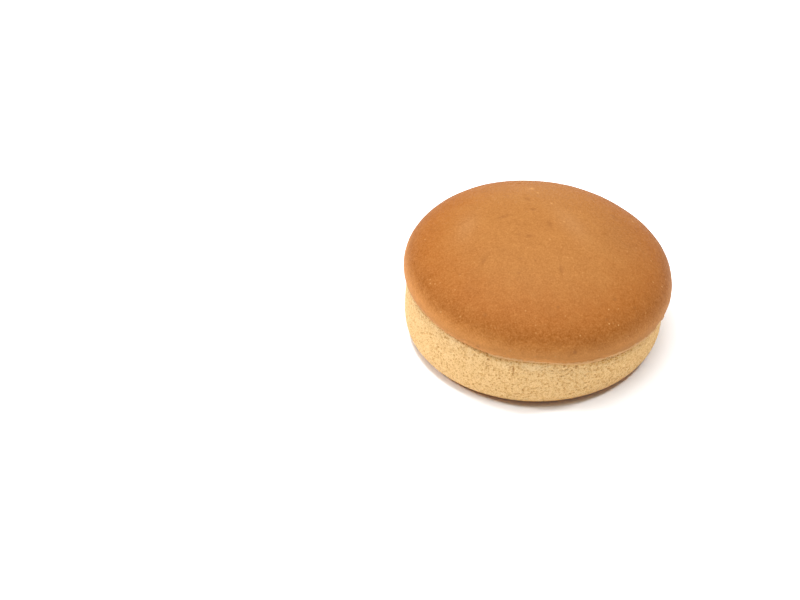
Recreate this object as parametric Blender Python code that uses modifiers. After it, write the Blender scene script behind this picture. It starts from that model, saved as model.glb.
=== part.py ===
"""A plain hamburger bun: a domed crown resting on a round heel.

Both halves are turned shapes about Z, in metres, +Z up. One slightly oblique slice parted them,
so the heel is a shallow wedge, higher at -X, and the crown leans with it. The crown is the wider
of the two and its rim overhangs the heel. The origin is the centre of the heel's flat base.
"""

import math

import bpy
import numpy as np

# The slice
SLICE_TILT = math.radians(4.35)      # falls towards +X
SLICE_GAP = 0.0005                   # between the two cut faces, measured upright

# The heel, the lower half
HEEL_BASE_RADIUS = 0.0448            # flat that it stands on
HEEL_RADIUS = 0.0517                 # widest, at the belly of its side
HEEL_BELLY_HEIGHT = 0.0084
HEEL_TOP_RADIUS = 0.0500             # where the side meets the cut
HEEL_HEIGHT = 0.0237                 # at the axis
HEEL_EDGE_ROUND = 0.0008             # softened edge of the cut

# The crown, the upper half, measured from its own cut face
CROWN_RADIUS = 0.0540                # widest, just above the rim
CROWN_WIDEST_HEIGHT = 0.0031
CROWN_RIM_INSET = 0.00135            # how far the side turns in again below the widest line
CROWN_HEIGHT = 0.0247
CROWN_FULLNESS = 2.127               # 2 is half an ellipse, more is a fuller dome
CROWN_OFFSET_X = 0.00105             # the crown sits a little off the heel's axis

# Uneven places, each (angle about Z in degrees, half width in degrees, amount)
CROWN_RIM_LIFTS = (                  # the rim rises, or dips where the amount is negative
    (-91.0, 11.0, 0.00090),
    (-72.0, 8.0, -0.00050),
    (-20.0, 14.0, 0.00035),
    (48.0, 16.0, -0.00040),
    (104.0, 13.0, 0.00050),
    (165.0, 18.0, -0.00035),
)
HEEL_EDGE_SWELLS = (                 # the heel's side swells out under the rim
    (-98.0, 16.0, 0.00150),
    (-55.0, 20.0, 0.00180),
    (-17.0, 10.0, -0.00080),
    (40.0, 20.0, 0.00070),
    (118.0, 15.0, 0.00090),
)

# How finely the shapes are cut
TURN_STEPS = 72
DOME_RINGS = 18
RIM_RINGS = 3
SIDE_RINGS = 7
EDGE_RINGS = 2
MERGE = 0.00001

# Finishes: sRGB colour, roughness
CRUST_FINISH = ((0.80, 0.53, 0.29), 0.62)
HEEL_FINISH = ((0.90, 0.75, 0.52), 0.80)


def remove_everything():
    """Leave an empty scene, so that the script gives the same result wherever it runs."""
    for item in list(bpy.data.objects):
        bpy.data.objects.remove(item, do_unlink=True)


def linear(channel):
    """An sRGB channel as the linear value that a shader takes."""
    if channel <= 0.04045:
        return channel / 12.92
    return ((channel + 0.055) / 1.055) ** 2.4


def finish(name, srgb, roughness):
    """A matt baked surface."""
    material = bpy.data.materials.new(name)
    material.use_nodes = True
    shader = material.node_tree.nodes["Principled BSDF"]
    colour = (*(linear(channel) for channel in srgb), 1.0)
    shader.inputs["Base Color"].default_value = colour
    shader.inputs["Roughness"].default_value = roughness
    shader.inputs["Metallic"].default_value = 0.0
    material.diffuse_color = colour
    return material


def quarter(rings):
    """Angles from 0 to a quarter turn, both ends included."""
    return [0.5 * math.pi * step / rings for step in range(rings + 1)]


def crown_profile():
    """(radius, height) from the top pole over the dome and the rim to the centre of the cut."""
    rise = CROWN_HEIGHT - CROWN_WIDEST_HEIGHT
    dome = []
    for angle in quarter(DOME_RINGS):
        up = math.cos(angle)
        radius = CROWN_RADIUS * math.sqrt(max(0.0, 1.0 - up ** CROWN_FULLNESS))
        dome.append((radius, CROWN_WIDEST_HEIGHT + rise * up))
    rim = []
    for ring in range(1, RIM_RINGS + 1):
        down = ring / RIM_RINGS
        radius = CROWN_RADIUS - CROWN_RIM_INSET * down ** 2
        rim.append((radius, CROWN_WIDEST_HEIGHT * (1.0 - down)))
    return dome + rim + [(HEEL_TOP_RADIUS, 0.0), (0.0, 0.0)]


def heel_profile():
    """(radius, height) from the centre of the cut over the belly to the centre of the base."""
    edge_radius = HEEL_TOP_RADIUS - HEEL_EDGE_ROUND
    edge_height = HEEL_HEIGHT - HEEL_EDGE_ROUND
    edge = [(edge_radius + HEEL_EDGE_ROUND * math.sin(angle),
             edge_height + HEEL_EDGE_ROUND * math.cos(angle)) for angle in quarter(EDGE_RINGS)]
    upper = [(HEEL_TOP_RADIUS + (HEEL_RADIUS - HEEL_TOP_RADIUS) * math.sin(angle),
              HEEL_BELLY_HEIGHT + (edge_height - HEEL_BELLY_HEIGHT) * math.cos(angle))
             for angle in quarter(SIDE_RINGS)]
    lower = [(HEEL_BASE_RADIUS + (HEEL_RADIUS - HEEL_BASE_RADIUS) * math.cos(angle),
              HEEL_BELLY_HEIGHT * (1.0 - math.sin(angle))) for angle in quarter(SIDE_RINGS)]
    return [(0.0, HEEL_HEIGHT)] + edge + upper[1:] + lower[1:] + [(0.0, 0.0)]


def turned(name, profile, material, collection):
    """Spin a profile, given from its top pole down its outer side, into a closed body."""
    mesh = bpy.data.meshes.new(name)
    links = [(point, point + 1) for point in range(len(profile) - 1)]
    mesh.from_pydata([(radius, 0.0, height) for radius, height in profile], links, [])
    mesh.materials.append(material)
    body = bpy.data.objects.new(name, mesh)
    collection.objects.link(body)
    screw = body.modifiers.new("Turn", "SCREW")
    screw.steps = TURN_STEPS
    screw.render_steps = TURN_STEPS
    screw.use_merge_vertices = True
    screw.merge_threshold = MERGE
    return body


def reshape(body, move):
    """Settle the turned mesh and pass its points, one row each, through a move function."""
    settled = body.evaluated_get(bpy.context.evaluated_depsgraph_get())
    mesh = bpy.data.meshes.new_from_object(settled)
    mesh.name = body.name
    body.modifiers.clear()
    body.data = mesh
    points = np.empty(3 * len(mesh.vertices))
    mesh.vertices.foreach_get("co", points)
    mesh.vertices.foreach_set("co", move(points.reshape(-1, 3)).ravel())
    mesh.shade_smooth()
    mesh.set_sharp_from_angle(angle=math.radians(50.0))
    mesh.update()


def uneven(angle, places):
    """Sum of soft bumps round the axis, each a Gaussian of the angle from its centre."""
    total = np.zeros_like(angle)
    for centre, half_width, amount in places:
        away = angle - math.radians(centre)
        away = np.arctan2(np.sin(away), np.cos(away))
        total += amount * np.exp(-(away / math.radians(half_width)) ** 2)
    return total


def wave_rim(points):
    """Lift and dip the crown's rim, fading out up its side and in towards the heel's edge."""
    radius = np.hypot(points[:, 0], points[:, 1])
    angle = np.arctan2(points[:, 1], points[:, 0])
    outward = (radius - HEEL_TOP_RADIUS) / (CROWN_RADIUS - CROWN_RIM_INSET - HEEL_TOP_RADIUS)
    upward = points[:, 2] / CROWN_WIDEST_HEIGHT
    share = np.clip(outward, 0.0, 1.0) * np.clip(1.0 - 0.5 * upward, 0.0, 1.0)
    points[:, 2] += share * uneven(angle, CROWN_RIM_LIFTS)
    return points


def slice_heel(points):
    """Shear the heel above its belly into a wedge, and swell its side under the rim."""
    radius = np.hypot(points[:, 0], points[:, 1])
    angle = np.arctan2(points[:, 1], points[:, 0])
    share = np.clip((points[:, 2] - HEEL_BELLY_HEIGHT) / (HEEL_HEIGHT - HEEL_BELLY_HEIGHT), 0.0, 1.0)
    side = np.clip(radius / HEEL_TOP_RADIUS, 0.0, 1.0) ** 8
    stretch = 1.0 + share * side * uneven(angle, HEEL_EDGE_SWELLS) / HEEL_TOP_RADIUS
    points[:, 0] *= stretch
    points[:, 1] *= stretch
    points[:, 2] -= share * points[:, 0] * math.tan(SLICE_TILT)
    return points


def build():
    """Make both halves and set the crown on the heel."""
    remove_everything()
    bun = bpy.data.collections.new("hamburger_bun")
    bpy.context.scene.collection.children.link(bun)

    heel = turned("bun_heel", heel_profile(), finish("heel_side", *HEEL_FINISH), bun)
    reshape(heel, slice_heel)

    crown = turned("bun_crown", crown_profile(), finish("crown_crust", *CRUST_FINISH), bun)
    reshape(crown, wave_rim)
    cut_height = HEEL_HEIGHT - CROWN_OFFSET_X * math.tan(SLICE_TILT)
    crown.location = (CROWN_OFFSET_X, 0.0, cut_height + SLICE_GAP)
    crown.rotation_euler = (0.0, SLICE_TILT, 0.0)


build()
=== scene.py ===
"""The looks of a plain hamburger bun: a browned domed crown resting on a pale porous heel.

Both halves are closed surfaces worked out on a grid of two parameters, the way down a turned
profile and the way round it. They follow the solids' own form, with the grain, pores and dents of
the crust carved into it, and each has a matt baked finish. Units are metres, +Z is up.
"""

import logging
import math
from dataclasses import dataclass, field
from enum import Enum
from typing import NamedTuple

import bpy
import numpy as np
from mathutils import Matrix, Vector


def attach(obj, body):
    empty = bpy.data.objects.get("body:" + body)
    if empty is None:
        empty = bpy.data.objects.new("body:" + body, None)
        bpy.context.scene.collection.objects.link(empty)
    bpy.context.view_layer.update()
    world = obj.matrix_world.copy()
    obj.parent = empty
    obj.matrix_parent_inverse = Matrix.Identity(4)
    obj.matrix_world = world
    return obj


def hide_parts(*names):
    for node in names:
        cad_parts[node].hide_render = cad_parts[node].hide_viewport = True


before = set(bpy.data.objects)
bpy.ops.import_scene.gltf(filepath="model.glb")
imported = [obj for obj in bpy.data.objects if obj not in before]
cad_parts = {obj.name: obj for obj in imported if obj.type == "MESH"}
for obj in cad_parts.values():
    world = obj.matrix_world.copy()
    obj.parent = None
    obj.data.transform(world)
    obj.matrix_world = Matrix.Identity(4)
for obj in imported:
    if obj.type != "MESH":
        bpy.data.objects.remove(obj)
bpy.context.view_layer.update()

MM = 0.001
log = logging.getLogger("bun")

Span = tuple[float, float]
Step = tuple[float, float, float]
Colour = tuple[float, float, float, float]
Paint = Colour | bpy.types.NodeSocket       # one colour, or one that varies over a surface


# ---------------------------------------------------------------- kinds of place and pattern

class Swell(NamedTuple):
    """A soft swell round the axis; what its amount means is said where it is used."""

    centre: float       # angle about Z in degrees
    half_width: float   # degrees
    amount: float


class Oval(NamedTuple):
    """A soft oval seen from above, in millimetres."""

    x: float
    y: float
    half_length: float
    half_width: float
    turn: float         # the way it points, in degrees from +X


class Pit(NamedTuple):
    """A single pit or short crack in the heel's side."""

    centre: float       # angle about Z in degrees
    height: float       # millimetres above the base, before the heel is sheared
    half_width: float   # millimetres round the side
    half_height: float  # millimetres up the side


class Waves(NamedTuple):
    """Smooth noise of one size."""

    wavelength: float   # metres
    height: float       # in the unit of what the noise is added to


class Holes(NamedTuple):
    """Round pits about scattered points, in metres."""

    spacing: float
    smallest: float
    largest: float
    kept: float         # share of the scattered points that have a pit


class Noise(NamedTuple):
    """Cloudy noise of a material."""

    size: float                 # of its largest blobs, in metres
    detail: float = 2.0         # octaves
    roughness: float = 0.5      # strength of the finer octaves
    shift: float = 0.0          # moves the pattern, so that two of them differ


# ---------------------------------------------------------------- shader expressions

class Sum(Enum):
    """The Math node's operations that the materials use."""

    ADD = "ADD"
    SUBTRACT = "SUBTRACT"
    MULTIPLY = "MULTIPLY"


class Signal:
    """A number that varies over a surface: a shader socket with the operators of a number."""

    def __init__(self, graph: "Graph", socket: bpy.types.NodeSocket) -> None:
        """Wrap a socket.

        Args:
            graph: The material's graph that new nodes go into.
            socket: The output socket that carries the number.
        """
        self.graph = graph
        self.socket = socket

    def _sum(self, kind: Sum, left: "Signal | float", right: "Signal | float") -> "Signal":
        """Add one Math node and return its result."""
        node = self.graph.node("ShaderNodeMath", {"operation": kind.value}, {0: left, 1: right})
        return Signal(self.graph, node.outputs[0])

    def __add__(self, other: "Signal | float") -> "Signal":
        """This plus other."""
        return self._sum(Sum.ADD, self, other)

    def __radd__(self, other: float) -> "Signal":
        """Other plus this."""
        return self._sum(Sum.ADD, other, self)

    def __sub__(self, other: "Signal | float") -> "Signal":
        """This minus other."""
        return self._sum(Sum.SUBTRACT, self, other)

    def __rsub__(self, other: float) -> "Signal":
        """Other minus this."""
        return self._sum(Sum.SUBTRACT, other, self)

    def __mul__(self, other: "Signal | float") -> "Signal":
        """This times other."""
        return self._sum(Sum.MULTIPLY, self, other)

    def ramp(self, low: float, high: float) -> "Signal":
        """A smooth step.

        Args:
            low: The value that gives 0.
            high: The value that gives 1; it may be below low.

        Returns:
            A Signal from 0 to 1.
        """
        node = self.graph.node(
            "ShaderNodeMapRange",
            {"interpolation_type": "SMOOTHSTEP", "clamp": True},
            {"Value": self, "From Min": low, "From Max": high, "To Min": 0.0, "To Max": 1.0},
        )
        return Signal(self.graph, node.outputs["Result"])

    def spread(self, low: float, high: float) -> "Signal":
        """Stretch 0 to 1 evenly over two numbers: 0 gives the first, 1 the second."""
        return self * (high - low) + low


class Graph:
    """The node tree of one material, written as expressions."""

    def __init__(self, name: str) -> None:
        """Start a material with nothing but its Principled shader.

        Args:
            name: The material's name.
        """
        self.material = bpy.data.materials.new(name)
        self.material.use_nodes = True
        self.tree = self.material.node_tree
        self.shader = self.tree.nodes["Principled BSDF"]
        self.place = self.node("ShaderNodeTexCoord").outputs["Object"]

    def node(self, kind: str, settings: dict | None = None, inputs: dict | None = None
             ) -> bpy.types.Node:
        """Add any node.

        Args:
            kind: The node's type.
            settings: Attributes that are set first.
            inputs: Socket name or number to a number, tuple, socket or Signal.

        Returns:
            The new node.
        """
        node = self.tree.nodes.new(kind)
        for key, value in (settings or {}).items():
            setattr(node, key, value)
        for key, value in (inputs or {}).items():
            self.feed(node.inputs[key], value)
        return node

    def feed(self, socket: bpy.types.NodeSocket, value: Signal | Paint | Step | float) -> None:
        """Set one input socket, or link it where the value varies."""
        if isinstance(value, Signal):
            self.tree.links.new(value.socket, socket)
        elif isinstance(value, bpy.types.NodeSocket):
            self.tree.links.new(value, socket)
        else:
            socket.default_value = value

    def attribute(self, name: str) -> Signal:
        """A number stored on the mesh's points."""
        node = self.node("ShaderNodeAttribute", {"attribute_name": name})
        return Signal(self, node.outputs["Fac"])

    def moved(self, step: Step) -> bpy.types.NodeSocket:
        """The place in object space, moved by a step in metres."""
        node = self.node("ShaderNodeVectorMath", {"operation": "ADD"}, {0: self.place, 1: step})
        return node.outputs["Vector"]

    def noise(self, kind: Noise) -> Signal:
        """Cloudy noise in object space, about 0.5."""
        place = self.moved((kind.shift, 2.0 * kind.shift, -kind.shift))
        node = self.node("ShaderNodeTexNoise", None,
                         {"Vector": place, "Scale": 1.0 / kind.size, "Detail": kind.detail,
                          "Roughness": kind.roughness})
        return Signal(self, node.outputs["Fac"])

    def _voronoi(self, feature: str, spacing: float, shift: float) -> bpy.types.Node:
        """Add a Voronoi texture over object space, its pattern moved by a shift in metres."""
        place = self.moved((shift, -shift, 3.0 * shift))
        return self.node("ShaderNodeTexVoronoi", {"feature": feature},
                         {"Vector": place, "Scale": 1.0 / spacing, "Randomness": 1.0})

    def cells(self, spacing: float, shift: float = 0.0) -> tuple[Signal, Signal]:
        """Scattered points in object space.

        Args:
            spacing: Mean distance between points, in metres.
            shift: Moves the pattern, so that two of them differ.

        Returns:
            The distance to the nearest point in spacings, and a random number of that point.
        """
        node = self._voronoi("F1", spacing, shift)
        pick = self.node("ShaderNodeSeparateColor", None, {0: node.outputs["Color"]})
        return Signal(self, node.outputs["Distance"]), Signal(self, pick.outputs[0])

    def foam(self, spacing: float, shift: float) -> tuple[Signal, Signal]:
        """Bubbles packed side by side in object space.

        Args:
            spacing: Mean distance between their middles, in metres.
            shift: Moves the pattern, so that two of them differ.

        Returns:
            The distance to the nearest wall in spacings, and a random number of the bubble.
        """
        node = self._voronoi("DISTANCE_TO_EDGE", spacing, shift)
        return Signal(self, node.outputs["Distance"]), self.cells(spacing, shift)[1]

    def mix(self, share: Signal, first: Paint, second: Paint) -> bpy.types.NodeSocket:
        """Blend two colours.

        Args:
            share: 0 or less gives the first, 1 or more the second.
            first: The colour below.
            second: The colour laid over it.

        Returns:
            The blended colour.
        """
        node = self.node("ShaderNodeMix", {"data_type": "RGBA", "clamp_factor": True},
                         {0: share, 6: first, 7: second})
        return node.outputs[2]

    def lighten(self, colour: Paint, step: Step, amount: Signal) -> bpy.types.NodeSocket:
        """Lighten or darken a colour: the colour plus a step times an amount.

        Args:
            colour: The colour to change.
            step: The linear change for an amount of 1.
            amount: How many steps; negative darkens.

        Returns:
            The changed colour.
        """
        node = self.node("ShaderNodeVectorMath", {"operation": "MULTIPLY_ADD"},
                         {0: step, 1: amount, 2: colour})
        return node.outputs["Vector"]

    def bump(self, height: Signal, depth: float) -> bpy.types.NodeSocket:
        """Fine relief.

        Args:
            height: The relief, 1 for its full depth.
            depth: That depth in metres.

        Returns:
            The bent normal.
        """
        inputs = {"Strength": 1.0, "Distance": depth, "Height": height}
        return self.node("ShaderNodeBump", None, inputs).outputs["Normal"]


def tint(red: float, green: float, blue: float) -> Colour:
    """An sRGB colour of 0 to 255 a channel as the linear colour that a shader takes."""
    def linear(channel: float) -> float:
        """One channel, linear."""
        share = channel / 255.0
        return share / 12.92 if share <= 0.04045 else ((share + 0.055) / 1.055) ** 2.4
    return (linear(red), linear(green), linear(blue), 1.0)


# ---------------------------------------------------------------- noise on whole arrays

def smooth(share: np.ndarray) -> np.ndarray:
    """Ease numbers from 0 to 1, so that they start and end gently."""
    return share * share * (3.0 - 2.0 * share)


class Scatter:
    """Seeded noise over points in space, worked out on whole arrays."""

    TABLE = 4096
    HASH = (73856093, 19349663, 83492791)   # large odd factors, one for each index of a cell

    def __init__(self, seed: int) -> None:
        """Fill the table of random numbers.

        Args:
            seed: Gives the pattern.
        """
        self.table = np.random.default_rng(seed).random((self.TABLE, 4))

    def _pick(self, cell: np.ndarray) -> np.ndarray:
        """Four random numbers for each cell of a lattice, hashed from its three indices."""
        first, second, third = (cell[..., axis] * factor for axis, factor in enumerate(self.HASH))
        return self.table[(first ^ second ^ third) % self.TABLE]

    def clouds(self, points: np.ndarray, wavelength: float) -> np.ndarray:
        """Smooth value noise: random values on a lattice, blended by smooth steps between corners.

        Args:
            points: (..., 3) places in metres.
            wavelength: The lattice's spacing.

        Returns:
            Values from -1 to 1, one per point.
        """
        scaled = points / wavelength
        cell = np.floor(scaled).astype(np.int64)
        part = smooth(scaled - cell)
        total = np.zeros(points.shape[:-1])
        for corner in np.ndindex(2, 2, 2):
            weight = np.prod(np.where(np.array(corner) == 1, part, 1.0 - part), axis=-1)
            total += weight * self._pick(cell + np.array(corner))[..., 0]
        return 2.0 * total - 1.0

    def relief(self, points: np.ndarray, layers: tuple[Waves, ...]) -> np.ndarray:
        """Clouds of several sizes, each times its own height, summed in the heights' unit."""
        return sum(self.clouds(points, waves.wavelength) * waves.height for waves in layers)

    def holes(self, points: np.ndarray, kind: Holes) -> np.ndarray:
        """Pits, each a bowl: 1 less the square of the distance over its radius.

        Args:
            points: (..., 3) places in metres.
            kind: How large and how close they are.

        Returns:
            0 outside every pit to 1 at a pit's centre.
        """
        scaled = points / kind.spacing
        cell = np.floor(scaled).astype(np.int64)
        deepest = np.zeros(points.shape[:-1])
        for step in np.ndindex(3, 3, 3):
            other = cell + np.array(step) - 1
            pick = self._pick(other)
            away = np.linalg.norm(scaled - other - pick[..., :3], axis=-1) * kind.spacing
            large = (pick[..., 3] / kind.kept) ** 2
            radius = kind.smallest + (kind.largest - kind.smallest) * large
            bowl = np.where(pick[..., 3] < kind.kept, 1.0 - (away / radius) ** 2, 0.0)
            deepest = np.maximum(deepest, bowl)
        return deepest


# ---------------------------------------------------------------- surfaces

POLE_RADIUS = 0.5 * MM      # the ring next to each pole
POLE_ANGLE = 0.01           # where the dome's first ring lies, in radians from the pole
QUARTER_POINTS = 60         # along a quarter ellipse, before its points are spaced evenly
DOME_POINTS = 300
RIM_POINTS = 30
FACE_DEPTH = 0.2 * MM       # points of the heel this near the cut belong to its face
PORE_MARK = 0.7             # how strongly a pore is darkened with painted shade, where 1 is a single pit


def around(columns: int) -> np.ndarray:
    """One row of angles about Z, in radians, one for each column of a grid."""
    return np.linspace(0.0, 2.0 * math.pi, columns, endpoint=False)[None, :]


def angle_of(grid: np.ndarray) -> np.ndarray:
    """Each point's angle about Z in radians."""
    return np.arctan2(grid[..., 1], grid[..., 0])


def away_from(centre: float, angle: np.ndarray) -> np.ndarray:
    """How far angles in radians are from a centre in degrees, the short way round."""
    away = angle - math.radians(centre)
    return np.arctan2(np.sin(away), np.cos(away))


def curve(radius: np.ndarray, height: np.ndarray | float) -> np.ndarray:
    """A piece of a profile: (n, 2) radius and height."""
    return np.stack(np.broadcast_arrays(radius, height), axis=1)


def evenly(profile: np.ndarray, count: int) -> np.ndarray:
    """Space a profile's points evenly along its length.

    Args:
        profile: (n, 2) radius and height, dense.
        count: Points wanted, both ends included.

    Returns:
        (count, 2) radius and height.
    """
    length = np.concatenate([[0.0], np.cumsum(np.linalg.norm(np.diff(profile, axis=0), axis=1))])
    stops = np.linspace(0.0, length[-1], count)
    return np.stack([np.interp(stops, length, profile[:, axis]) for axis in (0, 1)], axis=1)


def outward(grid: np.ndarray) -> np.ndarray:
    """Unit normals of a grid whose rows run down and whose columns run round, by cross product."""
    down = np.gradient(grid, axis=0)
    round_ = np.roll(grid, -1, axis=1) - np.roll(grid, 1, axis=1)
    normal = np.cross(down, round_)
    return normal / np.maximum(np.linalg.norm(normal, axis=-1, keepdims=True), 1e-12)


def closed_mesh(name: str, grid: np.ndarray, marks: dict[str, np.ndarray]) -> bpy.types.Object:
    """A closed body from a grid of points, with a fan of triangles at each pole.

    Args:
        name: The piece's name.
        grid: (rows, columns, 3) points; rows run from the top pole down, columns round the axis.
        marks: Name to (rows, columns) numbers kept on the points for the material.

    Returns:
        The new object, at the origin.
    """
    rows, columns = grid.shape[:2]
    poles = np.array([grid[0].mean(axis=0), grid[-1].mean(axis=0)])
    points = np.concatenate([grid.reshape(-1, 3), poles])
    index = np.arange(rows * columns).reshape(rows, columns)
    beside = np.roll(index, -1, axis=1)
    quads = np.stack([index[:-1], index[1:], beside[1:], beside[:-1]], axis=-1).reshape(-1)
    top = np.stack([np.full(columns, rows * columns), index[0], beside[0]], axis=-1).reshape(-1)
    foot = np.stack([np.full(columns, rows * columns + 1), beside[-1], index[-1]], axis=-1)
    corners = np.concatenate([quads, top, foot.reshape(-1)])
    sizes = np.concatenate([np.full((rows - 1) * columns, 4), np.full(2 * columns, 3)])
    starts = np.concatenate([[0], np.cumsum(sizes)[:-1]])

    mesh = bpy.data.meshes.new(name)
    mesh.vertices.add(len(points))
    mesh.vertices.foreach_set("co", points.astype(np.float32).ravel())
    mesh.loops.add(len(corners))
    mesh.loops.foreach_set("vertex_index", corners.astype(np.int32))
    mesh.polygons.add(len(sizes))
    mesh.polygons.foreach_set("loop_start", starts.astype(np.int32))
    mesh.update(calc_edges=True)
    mesh.validate()
    mesh.shade_smooth()
    for key, values in marks.items():
        full = np.concatenate([values.reshape(-1), [values[0].mean(), values[-1].mean()]])
        mark = mesh.attributes.new(key, "FLOAT", "POINT")
        mark.data.foreach_set("value", full.astype(np.float32))
    piece = bpy.data.objects.new(name, mesh)
    bpy.context.scene.collection.objects.link(piece)
    return piece


def bumps(angle: np.ndarray, places: tuple[Swell, ...]) -> np.ndarray:
    """Sum of soft swells round the axis, each a Gaussian of the angle from its centre.

    Args:
        angle: Angles about Z in radians.
        places: The swells.

    Returns:
        The summed amount at each angle.
    """
    total = np.zeros_like(angle)
    for centre, half_width, amount in places:
        total += amount * np.exp(-(away_from(centre, angle) / math.radians(half_width)) ** 2)
    return total


def ovals(grid: np.ndarray, places: tuple[Oval, ...]) -> np.ndarray:
    """Sum of soft ovals seen from above, each a Gaussian of the distance along and across it.

    Args:
        grid: (rows, columns, 3) points.
        places: The ovals.

    Returns:
        The summed amount at each point.
    """
    total = np.zeros(grid.shape[:-1])
    for oval in places:
        x, y = grid[..., 0] / MM - oval.x, grid[..., 1] / MM - oval.y
        cos, sin = math.cos(math.radians(oval.turn)), math.sin(math.radians(oval.turn))
        along = (cos * x + sin * y) / oval.half_length
        across = (cos * y - sin * x) / oval.half_width
        total += np.exp(-along ** 2 - across ** 2)
    return total


def between(values: np.ndarray, start: float, width: float) -> np.ndarray:
    """0 up to a start, rising evenly to 1 over a width."""
    return np.clip((values - start) / width, 0.0, 1.0)


# ---------------------------------------------------------------- the bun

CRUMB = tint(240, 226, 200)     # the colour of both cut faces


@dataclass(frozen=True)
class Slice:
    """The oblique cut that parts the bun."""

    tilt: float = math.radians(4.35)
    gap: float = 0.5 * MM


@dataclass(frozen=True)
class CrownCrust:
    """Browned crust with a sandy grain: warm brown on top, deeper on the flank, golden at the rim.

    A span is where something is absent, then where it is full: heights in millimetres above the
    cut, unless its comment says otherwise. A share is how much of a colour is mixed in at most.
    """

    brown: Colour = tint(144, 94, 45)
    deep: Colour = tint(142, 85, 33)
    golden: Colour = tint(193, 129, 67)
    pale: Colour = tint(164, 115, 60)
    spot: Colour = tint(123, 75, 32)
    speck: Colour = tint(188, 138, 84)
    # Painted shade on the lowest rim and the right flank; paler patches of wear and painted sheen
    rim: Colour = tint(164, 108, 50)
    worn_and_sheen: Colour = tint(154, 111, 70)
    baked: Colour = tint(112, 72, 44)
    cut_edge: Colour = tint(192, 144, 92)
    grain_step: Step = (0.095, 0.049, 0.019)    # what one step of grain adds, linear

    deep_span: Span = (24.0, 14.5)
    golden_span: Span = (11.0, 3.4)
    rim_shade_span: Span = (6.0, 1.0)
    coarse_span: Span = (18.0, 8.0)
    speck_span: Span = (20.0, 11.0)
    speck_edge: Span = (0.25, 0.08)     # distances from a speck's middle, in spacings
    speck_picks: Span = (0.82, 1.0)     # random numbers, one for each speck
    ragged_span: Span = (0.0, 0.15)     # how much of a lip there is
    lip_span: Span = (0.05, 0.55)       # how much of a lip there is, ragged
    wander: float = 3.0                 # how far the spans of the tone wander, in millimetres

    # Painted shade on the right flank
    right_flank_shade_share: float = 0.15
    # Paler patches of wear, and a painted sheen at the back
    worn_and_sheen_share: float = 0.3
    cloud_share: float = 0.5            # times how far a cloud is above or below its mean
    loose_share: float = 0.55
    # Painted shade in the dimples and creases
    dimple_shade_share: float = 0.5
    rim_shade_shares: Span = (0.25, 0.85)     # painted shade at the lowest rim: off the shaded side, and in its middle
    shaded_side_share: float = 0.25             # how much of the golden the shaded side lacks, as painted shade

    wander_noise: Noise = Noise(5.0 * MM)
    cloud_noise: Noise = Noise(8.0 * MM, shift=0.2)
    sand_noise: Noise = Noise(0.65 * MM, roughness=0.7, shift=0.3)
    grit_noise: Noise = Noise(1.4 * MM, roughness=0.6, shift=0.5)
    torn_noise: Noise = Noise(1.2 * MM, roughness=0.7, shift=0.7)
    speck_spacing: float = 1.9 * MM
    sand_mean: float = 0.26             # of the sand's square, so that the grain doesn't lighten
    grain_steps: Span = (1.9, 3.1)      # how strong the sand is on top, and low on the flank
    grit_strength: float = 0.45         # the grit beside the sand
    speck_strength: Span = (0.3, 1.0)   # of the specks on top, and low on the flank
    ragged_strength: float = 1.2
    relief: float = 0.10 * MM
    grit_relief: float = 0.5            # in shares of the relief, as is the specks'
    speck_relief: float = 0.2
    roughness: Span = (0.6, 0.75)       # between the grains of sand, and on them
    shine: float = 0.1
    bloom: float = 0.03

    def tone(self, graph: Graph, rise: Signal) -> bpy.types.NodeSocket:
        """Colour by height, wandering a little, with faint clouds, painted shade and paler
        patches.

        Args:
            graph: The material's graph.
            rise: Height above the crown's cut in millimetres.

        Returns:
            The colour.
        """
        height = rise + (graph.noise(self.wander_noise) - 0.5) * self.wander
        colour = graph.mix(height.ramp(*self.deep_span), self.brown, self.deep)
        # Painted shade: less golden on the shaded side
        bare = 1.0 - graph.attribute("shaded_side") * self.shaded_side_share
        colour = graph.mix(height.ramp(*self.golden_span) * bare, colour, self.golden)
        cloud = graph.noise(self.cloud_noise)
        colour = graph.mix((cloud - 0.5) * self.cloud_share, colour, self.spot)
        colour = graph.mix((0.5 - cloud) * self.cloud_share, colour, self.pale)
        # Painted shade: a darker patch on the right flank
        colour = graph.mix(graph.attribute("right_flank_shade") * self.right_flank_shade_share, colour, self.baked)
        # Paler patches of wear, and a painted sheen at the back
        return graph.mix(graph.attribute("patch") * self.worn_and_sheen_share, colour, self.worn_and_sheen)

    def specks(self, graph: Graph, rise: Signal) -> Signal:
        """Small pale specks, each of its own strength and fainter towards the top."""
        away, pick = graph.cells(self.speck_spacing)
        strength = rise.ramp(*self.speck_span).spread(*self.speck_strength)
        return away.ramp(*self.speck_edge) * pick.ramp(*self.speck_picks) * strength

    def torn(self, graph: Graph) -> Signal:
        """The lip with a ragged border: its own mark, with noise added where there is a lip."""
        lip = graph.attribute("lip")
        ragged = graph.noise(self.torn_noise) - 0.5
        return lip + lip.ramp(*self.ragged_span) * ragged * self.ragged_strength

    def material(self) -> bpy.types.Material:
        """Build the material and its node tree."""
        graph = Graph("crown_crust")
        rise = graph.attribute("rise")
        colour = self.tone(graph, rise)

        sand = graph.noise(self.sand_noise)
        grit = graph.noise(self.grit_noise)
        coarse = rise.ramp(*self.coarse_span).spread(*self.grain_steps)
        rough = ((sand * sand - self.sand_mean) * coarse
                 + (grit - 0.5) * (coarse * self.grit_strength))
        colour = graph.lighten(colour, self.grain_step, rough)

        speck = self.specks(graph, rise)
        colour = graph.mix(speck, colour, self.speck)
        colour = graph.mix(graph.attribute("loose") * self.loose_share, colour, self.speck)
        # Painted shade in the dimples and creases
        dimple = graph.attribute("dimple").ramp(0.0, 1.0)
        colour = graph.mix(dimple * self.dimple_shade_share, colour, self.spot)
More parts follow.
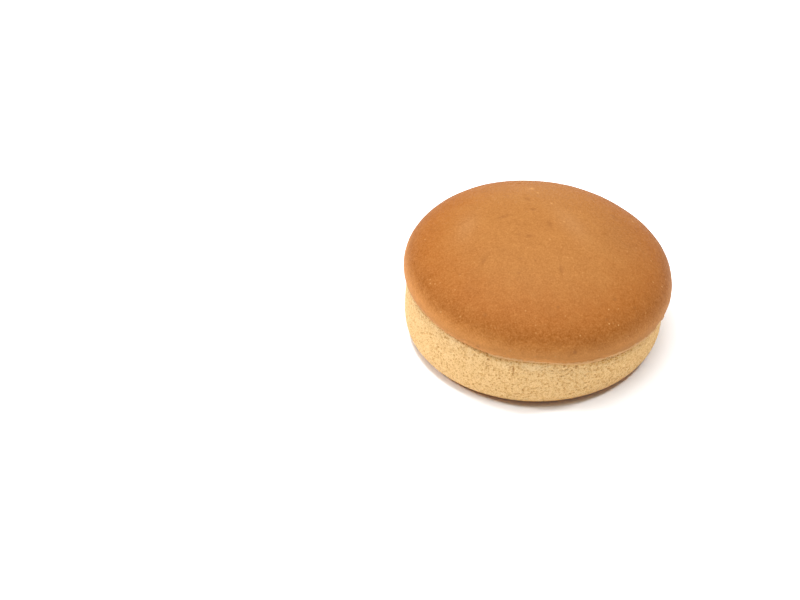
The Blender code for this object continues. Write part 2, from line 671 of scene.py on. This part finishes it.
        # Painted shade: the lowest rim darker, most on the shaded side
        shaded = graph.attribute("shaded_side").spread(*self.rim_shade_shares)
        colour = graph.mix(rise.ramp(*self.rim_shade_span) * shaded, colour, self.rim)
        colour = graph.mix(self.torn(graph).ramp(*self.lip_span), colour, self.cut_edge)
        colour = graph.mix(graph.attribute("crumb"), colour, CRUMB)
        graph.feed(graph.shader.inputs["Base Color"], colour)

        height = sand + grit * self.grit_relief + speck * self.speck_relief
        graph.feed(graph.shader.inputs["Normal"], graph.bump(height, self.relief))
        graph.feed(graph.shader.inputs["Roughness"], sand.spread(*self.roughness))
        graph.feed(graph.shader.inputs["Specular IOR Level"], self.shine)
        graph.feed(graph.shader.inputs["Sheen Weight"], self.bloom)
        return graph.material


@dataclass(frozen=True)
class HeelCrust:
    """Pale tan crust pored like foam, cream in patches near the cut and browned on the base.

    A span is where something is absent, then where it is full: heights in millimetres above the
    base, measured before the heel is sheared, unless its comment says otherwise. A share is how
    much of a colour is mixed in at most.
    """

    tan: Colour = tint(228, 185, 122)
    cream: Colour = tint(241, 209, 157)
    golden: Colour = tint(212, 165, 95)
    # Painted shade: on the side, below the crown's rim, and in the pores, bubbles and pits
    shaded_tan: Colour = tint(204, 158, 87)
    edge: Colour = tint(160, 112, 56)
    pore: Colour = tint(172, 113, 46)
    base: Colour = tint(222, 142, 62)

    cream_span: Span = (18.0, 26.0)
    # Painted shade below the crown's rim: the shaded strip, then the dark line
    seam_shade_span: Span = (21.8, 23.2)
    seam_shadow_span: Span = (22.2, 22.8)
    base_span: Span = (2.1, 1.0)
    mottle_span: Span = (0.35, 0.7)     # values of the mottling noise
    dot_edge: Span = (0.48, 0.20)       # distances from a dot's middle, in spacings
    froth_edge: Span = (0.06, 0.24)     # distances from a bubble's wall, in spacings
    pit_span: Span = (0.05, 0.8)        # how deep a pit or pore is, in shares
    patch_wander: float = 18.0          # how far the cream wanders, in millimetres
    seam_shade_wander: float = 1.6            # how far the painted shade below the rim wanders, in millimetres
    seam_shade_drop: float = 3.0             # how far down the painted shaded strip reaches where the side is shaded
    seam_shadow_drop: float = 1.3              # how far down the painted dark line reaches there

    mottle_share: float = 0.1
    cream_share: float = 0.65
    # Painted shade below the rim, and in the pores, bubbles and pits
    seam_shade_share: float = 0.85
    seam_shadow_shares: Span = (0.1, 0.85)     # of the painted dark line, where the side isn't shaded and where it is
    dot_shade_share: float = 0.55
    froth_shade_share: float = 0.42
    pit_shade_share: float = 0.5
    wall_level: float = 0.38            # dots and froth below this make a pale wall

    mottle_noise: Noise = Noise(6.0 * MM, 3.0, 0.6)
    patch_noise: Noise = Noise(5.0 * MM, shift=0.5)
    seam_shade_noise: Noise = Noise(1.6 * MM, roughness=0.6, shift=0.9)
    grain_noise: Noise = Noise(0.5 * MM, roughness=0.6, shift=0.7)
    dot_spacing: float = 1.25 * MM
    froth_spacing: float = 0.8 * MM
    froth_shift: float = 0.4            # moves the bubbles' pattern off the dots'
    dot_strength: Span = (0.3, 1.0)     # of the faintest dot, and of the strongest
    froth_strength: Span = (0.35, 0.9)  # of the faintest bubble, and of the strongest
    relief: float = 0.14 * MM
    grain_relief: float = 0.4           # in shares of the relief, as is the froth's
    froth_relief: float = 0.4
    roughness: Span = (0.7, 0.8)        # between the grains, and on them
    shine: float = 0.2

    def tone(self, graph: Graph, rise: Signal) -> bpy.types.NodeSocket:
        """The colour between the pores: mottled, cream in patches, painted shade under the crown.

        Args:
            graph: The material's graph.
            rise: Height above the base in millimetres.

        Returns:
            The colour.
        """
        mottle = graph.noise(self.mottle_noise).ramp(*self.mottle_span)
        colour = graph.mix(mottle * self.mottle_share, self.tan, self.golden)
        patch = rise + (graph.noise(self.patch_noise) - 0.5) * self.patch_wander
        colour = graph.mix(patch.ramp(*self.cream_span) * self.cream_share, colour, self.cream)
        # Painted shade on parts of the side, darker towards the top
        colour = graph.mix(graph.attribute("painted_shade"), colour, self.shaded_tan)
        # Painted shade below the crown's rim: a strip and a dark line, reaching lower where shaded
        shade = graph.attribute("shade")
        ragged = rise + (graph.noise(self.seam_shade_noise) - 0.5) * self.seam_shade_wander
        painted_shade = (ragged + shade * self.seam_shade_drop).ramp(*self.seam_shade_span)
        colour = graph.mix(painted_shade * self.seam_shade_share, colour, self.shaded_tan)
        edge = (ragged + shade * self.seam_shadow_drop).ramp(*self.seam_shadow_span)
        return graph.mix(edge * shade.spread(*self.seam_shadow_shares), colour, self.edge)

    def froth(self, graph: Graph) -> Signal:
        """Open bubbles, some deep and some shallow: up to 1 in a pore, 0 on the walls between."""
        wall, chance = graph.foam(self.froth_spacing, self.froth_shift)
        return wall.ramp(*self.froth_edge) * chance.spread(*self.froth_strength)

    def material(self) -> bpy.types.Material:
        """Build the material and its node tree."""
        graph = Graph("heel_side")
        rise = graph.attribute("rise")
        colour = self.tone(graph, rise)

        away, chance = graph.cells(self.dot_spacing)
        dot = away.ramp(*self.dot_edge) * chance.spread(*self.dot_strength)
        froth = self.froth(graph)
        pit = graph.attribute("pit").ramp(*self.pit_span)
        colour = graph.mix(self.wall_level - dot - froth, colour, self.cream)
        # Painted shade in the hollows of the pores, bubbles and pits
        colour = graph.mix(dot * self.dot_shade_share, colour, self.pore)
        colour = graph.mix(froth * self.froth_shade_share, colour, self.pore)
        colour = graph.mix(pit * self.pit_shade_share, colour, self.pore)
        colour = graph.mix(rise.ramp(*self.base_span), colour, self.base)
        colour = graph.mix(graph.attribute("crumb"), colour, CRUMB)
        graph.feed(graph.shader.inputs["Base Color"], colour)

        grain = graph.noise(self.grain_noise)
        height = grain * self.grain_relief - dot - froth * self.froth_relief
        graph.feed(graph.shader.inputs["Normal"], graph.bump(height, self.relief))
        graph.feed(graph.shader.inputs["Roughness"], grain.spread(*self.roughness))
        graph.feed(graph.shader.inputs["Specular IOR Level"], self.shine)
        return graph.material


@dataclass
class Heel:
    """The lower half: a round puck, its side bellied and turned under, cut on top as a wedge."""

    cut: Slice
    base_radius: float = 44.8 * MM
    radius: float = 51.7 * MM
    belly_height: float = 8.4 * MM
    top_radius: float = 50.0 * MM
    height: float = 23.7 * MM
    edge_round: float = 0.8 * MM
    columns: int = 960
    face_rows: int = 3
    side_rows: int = 94
    base_rows: int = 4

    # How far the side swells out under the rim, or is drawn in where the amount is negative
    swells: tuple[Swell, ...] = (
        Swell(-98.0, 16.0, 1.5 * MM), Swell(-55.0, 20.0, 1.8 * MM), Swell(-17.0, 10.0, -0.8 * MM),
        Swell(40.0, 20.0, 0.7 * MM), Swell(118.0, 15.0, 0.9 * MM),
    )
    swell_power: int = 8                # how closely the swells keep to the side
    # How far crumb fills the seam upwards, and the ring of the edge that it lifts
    fills: tuple[Swell, ...] = (Swell(-94.0, 15.0, 1.0 * MM),)
    fill_radius: float = 48.2 * MM
    fill_width: float = 1.8 * MM
    fill_height: float = 20.0 * MM
    fill_rise: float = 3.0 * MM
    # Painted shade: how much darker the side is, and how dark its edge below the rim
    side_shades: tuple[Swell, ...] = (
        Swell(-28.0, 28.0, 0.8), Swell(75.0, 30.0, 0.6), Swell(170.0, 25.0, 0.5),
    )
    shades: tuple[Swell, ...] = (
        Swell(-110.0, 8.0, 0.4), Swell(-46.0, 30.0, 1.0),
        Swell(75.0, 40.0, 0.8), Swell(170.0, 30.0, 0.6),
    )
    # The larger pits and cracks
    pits: tuple[Pit, ...] = (
        Pit(-101.2, 19.2, 0.45, 2.3), Pit(-112.5, 20.8, 0.8, 0.8), Pit(-112.5, 18.0, 0.5, 0.5),
        Pit(-79.2, 22.1, 0.8, 0.5), Pit(-73.8, 21.2, 0.7, 0.5), Pit(-66.4, 21.8, 0.9, 0.5),
        Pit(-96.8, 10.0, 0.7, 0.6), Pit(-69.0, 8.5, 0.6, 0.6), Pit(-8.0, 13.0, 0.7, 0.7),
        Pit(27.0, 17.5, 0.6, 1.6), Pit(58.0, 9.0, 0.7, 0.6), Pit(96.0, 19.5, 0.8, 0.6),
        Pit(131.0, 12.0, 0.6, 0.7), Pit(158.0, 20.0, 0.5, 1.5), Pit(-163.0, 11.0, 0.8, 0.7),
    )
    pit_depth: float = 0.45 * MM
    # The fine relief of the crust
    seed: int = 11
    pores: Holes = Holes(1.25 * MM, 0.28 * MM, 0.6 * MM, 0.9)
    pore_depth: float = 0.30 * MM
    lumps: tuple[Waves, ...] = (Waves(6.0 * MM, 0.05 * MM), Waves(1.3 * MM, 0.04 * MM))
    crust_radius: float = 43.0 * MM     # the relief starts here and is full after the width
    crust_width: float = 3.0 * MM
    foot: float = 1.2 * MM              # the relief fades out towards the base over this height
    skin: float = 0.06 * MM             # how far the cut face lies below the solid's
    finish: HeelCrust = field(default_factory=HeelCrust)

    def profile(self) -> np.ndarray:
        """Radius and height down the half: level cut, rounded edge, quarter ellipses, level base.

        Returns:
            (rows, 2) profile from near the top pole to near the bottom pole.
        """
        quarter = np.linspace(0.0, 0.5 * math.pi, QUARTER_POINTS)
        edge_radius = self.top_radius - self.edge_round
        edge_height = self.height - self.edge_round
        edge = curve(edge_radius + self.edge_round * np.sin(quarter),
                     edge_height + self.edge_round * np.cos(quarter))
        upper = curve(self.top_radius + (self.radius - self.top_radius) * np.sin(quarter),
                      self.belly_height + (edge_height - self.belly_height) * np.cos(quarter))
        lower = curve(self.base_radius + (self.radius - self.base_radius) * np.cos(quarter),
                      self.belly_height * (1.0 - np.sin(quarter)))
        side = evenly(np.concatenate([edge, upper[1:], lower[1:]]), self.side_rows)
        face = np.linspace(POLE_RADIUS, edge_radius, self.face_rows, endpoint=False)
        under = np.linspace(self.base_radius, POLE_RADIUS, self.base_rows + 1)[1:]
        return np.concatenate([curve(face, self.height), side, curve(under, 0.0)])

    def grid(self) -> tuple[np.ndarray, np.ndarray]:
        """The smooth form: the profile turned, sheared above the belly and swollen under the rim.

        Returns:
            (rows, columns, 3) points, and each point's height on the unsheared profile.
        """
        radius, height = (axis[:, None] for axis in self.profile().T)
        angle = around(self.columns)
        share = between(height, self.belly_height, self.height - self.belly_height)
        side = between(radius, 0.0, self.top_radius) ** self.swell_power
        reach = radius * (1.0 + share * side * bumps(angle, self.swells) / self.top_radius)
        across, along = reach * np.cos(angle), reach * np.sin(angle)
        level = np.repeat(height, self.columns, axis=1)
        rim = (between(radius, self.fill_radius, self.fill_width)
               * between(height, self.fill_height, self.fill_rise))
        up = level - share * across * math.tan(self.cut.tilt) + rim * bumps(angle, self.fills)
        return np.stack([across, along, up], axis=-1), level

    def pitting(self, angle: np.ndarray, level: np.ndarray) -> np.ndarray:
        """Single larger pits and short cracks, bowls: 1 less the squared distance in half widths.

        Args:
            angle: Each point's angle about Z in radians.
            level: Each point's height on the unsheared profile.

        Returns:
            0 outside every one to 1 at a middle.
        """
        deepest = np.zeros(level.shape)
        for pit in self.pits:
            across = away_from(pit.centre, angle) * self.radius / (pit.half_width * MM)
            above = (level / MM - pit.height) / pit.half_height
            deepest = np.maximum(deepest, 1.0 - across ** 2 - above ** 2)
        return deepest

    def build(self) -> bpy.types.Object:
        """Carve the pores and make the finished piece."""
        grid, level = self.grid()
        normal = outward(grid)
        radius = np.hypot(grid[..., 0], grid[..., 1])
        angle = angle_of(grid)
        face = (level > self.height - FACE_DEPTH) & (radius < self.top_radius - self.edge_round)
        crust = between(radius, self.crust_radius, self.crust_width) * np.where(face, 0.0, 1.0)
        noise = Scatter(self.seed)
        pore = noise.holes(grid, self.pores)
        pit = self.pitting(angle, level)
        relief = crust * (noise.relief(grid, self.lumps) - self.pore_depth * pore)
        relief = relief - np.where(face, self.skin, 0.0) - self.pit_depth * pit
        relief = relief * between(level, 0.0, self.foot)
        grid = grid + normal * relief[..., None]
        grid[..., 2] = np.maximum(grid[..., 2], 0.0)
        # Marks of painted shade: in the pores and pits, on parts of the side and below the rim
        marks = {
            "rise": level / MM,
            "pit": np.maximum(PORE_MARK * pore * crust, pit),
            "painted_shade": bumps(angle, self.side_shades) * between(level, 0.0, self.height),
            "shade": bumps(angle, self.shades),
            "crumb": face.astype(float),
        }
        piece = closed_mesh("heel", grid, marks)
        piece.data.materials.append(self.finish.material())
        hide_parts("bun_heel")
        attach(piece, "root")
        return piece


@dataclass
class Crown:
    """The upper half: a full dome with its rim turned in, cut below and leaning with the slice."""

    cut: Slice
    heel_height: float
    inner_radius: float
    radius: float = 54.0 * MM
    widest_height: float = 3.1 * MM
    rim_inset: float = 1.35 * MM
    height: float = 24.7 * MM
    fullness: float = 2.127             # 2 is half an ellipse, more is a fuller dome
    offset: float = 1.05 * MM           # towards +X, off the heel's axis
    columns: int = 720
    outer_rows: int = 128
    under_rows: int = 4

    # How far the rim rises, or dips where the amount is negative
    lifts: tuple[Swell, ...] = (
        Swell(-91.0, 11.0, 0.9 * MM), Swell(-72.0, 8.0, -0.5 * MM), Swell(-20.0, 14.0, 0.35 * MM),
        Swell(48.0, 16.0, -0.4 * MM), Swell(104.0, 13.0, 0.5 * MM), Swell(165.0, 18.0, -0.35 * MM),
    )
    # How much of a lip the slice left on the rim
    lips: tuple[Swell, ...] = (
        Swell(-103.0, 12.0, 0.7), Swell(-50.0, 30.0, 1.8),
        Swell(62.0, 34.0, 1.2), Swell(160.0, 26.0, 1.1),
    )
    lip_height: float = 1.7 * MM
    lip_bulge: float = 0.70 * MM
    lip_fade: float = 1.2 * MM
    # How raggedly the lip ends, in shares of its height
    rags: tuple[Waves, ...] = (Waves(1.8 * MM, 0.5), Waves(5.0 * MM, 0.3))
    # The side with painted shade, whose lowest rim is painted darker and less golden
    rim_shade_sides: tuple[Swell, ...] = (Swell(-38.0, 44.0, 1.0),)
    # Paler patches about the crown's own axis: worn ones, and a painted sheen at the back
    patches: tuple[Oval, ...] = (
        Oval(11.0, 7.0, 13.0, 5.0, -65.0), Oval(-30.0, 4.0, 9.0, 4.0, 75.0),
        Oval(-3.0, 35.0, 24.0, 12.0, 0.0),
    )
    # Shallow creases about the same axis, darkened with painted shade
    creases: tuple[Oval, ...] = (
        Oval(-3.4, 14.6, 1.5, 1.2, 25.0), Oval(2.7, 4.6, 2.6, 0.9, 100.0),
        Oval(6.0, -22.0, 2.6, 0.9, 95.0), Oval(-15.6, 8.6, 3.4, 0.9, 28.0),
        Oval(-5.4, 23.0, 1.4, 1.6, 0.0), Oval(-5.9, -4.3, 1.4, 1.2, 10.0),
        Oval(-24.0, -18.0, 2.0, 0.8, 60.0), Oval(30.0, 18.0, 2.2, 0.9, -40.0),
    )
    # A patch of painted shade on the right flank, and loose crumbs, about the bun's axis
    right_flank_shades: tuple[Oval, ...] = (Oval(35.0, 6.0, 24.0, 13.0, 105.0),)
    crumbs: tuple[Oval, ...] = (
        Oval(-0.3, 32.6, 0.8, 0.9, 0.0), Oval(1.9, 28.6, 0.4, 0.5, 0.0),
        Oval(7.0, 20.0, 0.4, 0.5, 0.0), Oval(11.2, 6.8, 0.3, 0.4, 0.0),
        Oval(5.1, -5.6, 0.3, 0.4, 0.0),
    )
    # The fine relief of the crust
    seed: int = 5
    dimples: Holes = Holes(8.0 * MM, 0.7 * MM, 1.5 * MM, 0.8)
    dimple_depth: float = 0.12 * MM
    dents: tuple[Waves, ...] = (
        Waves(17.0 * MM, 0.16 * MM), Waves(7.0 * MM, 0.07 * MM), Waves(2.2 * MM, 0.03 * MM),
    )
    dent_depth: float = 0.20 * MM       # the mean depth of the dents; they never stand proud
    skin: float = 0.06 * MM             # how far the crust lies below the solid's
    finish: CrownCrust = field(default_factory=CrownCrust)

    def profile(self) -> np.ndarray:
        """Radius and height down the half: superellipse dome, parabola rim, level cut.

        Returns:
            (rows, 2) profile from near the top pole to near the centre of the cut.
        """
        up = np.cos(np.linspace(POLE_ANGLE, 0.5 * math.pi, DOME_POINTS))
        dome = curve(self.radius * np.sqrt(1.0 - up ** self.fullness),
                     self.widest_height + (self.height - self.widest_height) * up)
        down = np.linspace(0.0, 1.0, RIM_POINTS)[1:]
        rim = curve(self.radius - self.rim_inset * down ** 2, self.widest_height * (1.0 - down))
        outer = evenly(np.concatenate([dome, rim]), self.outer_rows)
        under = np.linspace(outer[-1, 0], POLE_RADIUS, self.under_rows + 1)[1:]
        return np.concatenate([outer, curve(under, 0.0)])

    def place(self, grid: np.ndarray) -> np.ndarray:
        """Lean the crown with the slice and set it on the heel, a turn about Y and a shift."""
        cos, sin = math.cos(self.cut.tilt), math.sin(self.cut.tilt)
        across, along, up = np.moveaxis(grid, -1, 0)
        lifted = self.heel_height - self.offset * math.tan(self.cut.tilt) + self.cut.gap
        return np.stack([cos * across + sin * up + self.offset, along,
                         cos * up - sin * across + lifted], axis=-1)

    def grid(self) -> tuple[np.ndarray, np.ndarray]:
        """The smooth form: the profile turned, its rim lifted and dipped.

        Returns:
            (rows, columns, 3) points before they are placed, and each point's profile height.
        """
        radius, height = (axis[:, None] for axis in self.profile().T)
        angle = around(self.columns)
        out = between(radius, self.inner_radius, self.radius - self.rim_inset - self.inner_radius)
        share = out * (1.0 - between(height, 0.0, 2.0 * self.widest_height))
        level = np.repeat(height, self.columns, axis=1)
        up = level + share * bumps(angle, self.lifts)
        return np.stack([radius * np.cos(angle), radius * np.sin(angle), up], axis=-1), level

    def lip(self, grid: np.ndarray, level: np.ndarray, noise: Scatter) -> np.ndarray:
        """The ragged lip that the slice left on the rim, thick in places and gone in others.

        It is a smooth step of its own wandering height less the point's height.

        Args:
            grid: The smooth form.
            level: Each point's profile height.
            noise: The crown's noise.

        Returns:
            1 on the lip to 0 off it, one per point.
        """
        strength = np.clip(bumps(angle_of(grid), self.lips), 0.0, 1.0)
        edge = self.lip_height * strength * (1.0 + noise.relief(grid * (1, 1, 0), self.rags))
        share = between(edge - level, 0.0, self.lip_fade)
        return smooth(share) * np.clip(2.0 * strength, 0.0, 1.0)

    def build(self) -> bpy.types.Object:
        """Carve the dents, dimples and lip and make the finished piece."""
        grid, level = self.grid()
        normal = outward(grid)
        top = np.ones(level.shape)
        top[self.outer_rows:] = 0.0
        noise = Scatter(self.seed)
        dents = np.maximum(noise.relief(grid, self.dents) + self.dent_depth, 0.0)
        dimple = top * np.maximum(noise.holes(grid, self.dimples), ovals(grid, self.creases))
        lip = top * self.lip(grid, level, noise)
        patch = ovals(grid, self.patches)
        relief = self.lip_bulge * lip - self.skin - top * dents - self.dimple_depth * dimple
        grid = self.place(grid + normal * relief[..., None])
        # Marks of painted shade (dimples, right flank, shaded side) and of wear and painted sheen
        marks = {
            "rise": level / MM,
            "dimple": dimple,
            "lip": lip,
            "patch": patch,
            "right_flank_shade": ovals(grid, self.right_flank_shades),
            "loose": top * ovals(grid, self.crumbs),
            "shaded_side": bumps(angle_of(grid), self.rim_shade_sides),
            "crumb": 1.0 - top,
        }
        piece = closed_mesh("crown", grid, marks)
        piece.data.materials.append(self.finish.material())
        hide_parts("bun_crown")
        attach(piece, "root")
        return piece


# ---------------------------------------------------------------- the studio

@dataclass(frozen=True)
class Lamp:
    """A rectangular soft light that hangs on a sphere about the bun and faces it."""

    name: str
    azimuth: float                      # degrees from +X
    elevation: float                    # degrees above the floor
    size: tuple[float, float]           # metres
    power: float                        # watts
    distance: float = 1.6               # metres from the origin

    def hang(self) -> None:
        """Put the light in the scene; its first side lies level."""
        lamp = bpy.data.lights.new(self.name, "AREA")
        lamp.shape = "RECTANGLE"
        lamp.size, lamp.size_y = self.size
        lamp.energy = self.power
        turn, rise = math.radians(self.azimuth), math.radians(self.elevation)
        level = math.cos(rise)
        place = Vector((level * math.cos(turn), level * math.sin(turn), math.sin(rise)))
        holder = bpy.data.objects.new(self.name, lamp)
        holder.location = self.distance * place
        holder.rotation_euler = (-place).to_track_quat("-Z", "Y").to_euler()
        bpy.context.scene.collection.objects.link(holder)


@dataclass
class Studio:
    """A white floor under soft overhead light, and a long lens at the photograph's angle."""

    floor_size: float = 6.0
    floor_level: float = -0.02 * MM
    floor_white: Colour = (0.92, 0.945, 0.975, 1.0)
    floor_roughness: float = 0.8
    focal_pixels: float = 2400.0
    frame_width: float = 800.0
    sensor: float = 36.0
    elevation: float = math.radians(39.145)
    distance: float = 0.9874
    aim: tuple[float, float, float] = (-0.0537, 0.01585, 0.0)
    far: float = 20.0
    sky: float = 0.15
    lamps: tuple[Lamp, ...] = (
        Lamp("overhead", 0.0, 89.9, (1.1, 1.1), 22.6),
        Lamp("right", 5.0, 60.0, (0.2, 0.2), 9.4),
        Lamp("left", 180.0, 45.0, (0.25, 0.25), 10.5),
        Lamp("key", 150.0, 75.0, (0.3, 0.3), 17.8),
    )

    def floor(self) -> None:
        """Lay the white floor just under the base."""
        mesh = bpy.data.meshes.new("floor")
        half, level = 0.5 * self.floor_size, self.floor_level
        mesh.from_pydata([(-half, -half, level), (half, -half, level), (half, half, level),
                          (-half, half, level)], [], [(0, 1, 2, 3)])
        graph = Graph("white_floor")
        graph.feed(graph.shader.inputs["Base Color"], self.floor_white)
        graph.feed(graph.shader.inputs["Roughness"], self.floor_roughness)
        mesh.materials.append(graph.material)
        floor = bpy.data.objects.new("floor", mesh)
        bpy.context.scene.collection.objects.link(floor)

    def camera(self) -> None:
        """Set the camera at the photograph's angle and distance."""
        lens = bpy.data.cameras.new("camera")
        lens.sensor_width = self.sensor
        lens.lens = self.focal_pixels / self.frame_width * self.sensor
        lens.clip_end = self.far
        aim = Vector(self.aim)
        back = Vector((0.0, -math.cos(self.elevation), math.sin(self.elevation)))
        holder = bpy.data.objects.new("camera", lens)
        holder.location = aim + self.distance * back
        holder.rotation_euler = (-back).to_track_quat("-Z", "Y").to_euler()
        bpy.context.scene.collection.objects.link(holder)
        bpy.context.scene.camera = holder

    def build(self) -> None:
        """Set the whole studio."""
        scene = bpy.context.scene
        scene.view_settings.view_transform = "Standard"
        world = bpy.data.worlds.new("sky")
        world.use_nodes = True
        background = world.node_tree.nodes["Background"]
        background.inputs["Color"].default_value = (1.0, 1.0, 1.0, 1.0)
        background.inputs["Strength"].default_value = self.sky
        scene.world = world
        self.floor()
        for lamp in self.lamps:
            lamp.hang()
        self.camera()


def main() -> None:
    """Build the studio and both halves."""
    logging.basicConfig(level=logging.INFO, format="%(name)s: %(message)s")
    Studio().build()
    cut = Slice()
    heel = Heel(cut)
    crown = Crown(cut, heel_height=heel.height, inner_radius=heel.top_radius)
    for half in (heel, crown):
        piece = half.build()
        mesh = piece.data
        log.info("%s: %d points, %d faces", piece.name, len(mesh.vertices), len(mesh.polygons))


if __name__ == "__main__":
    main()
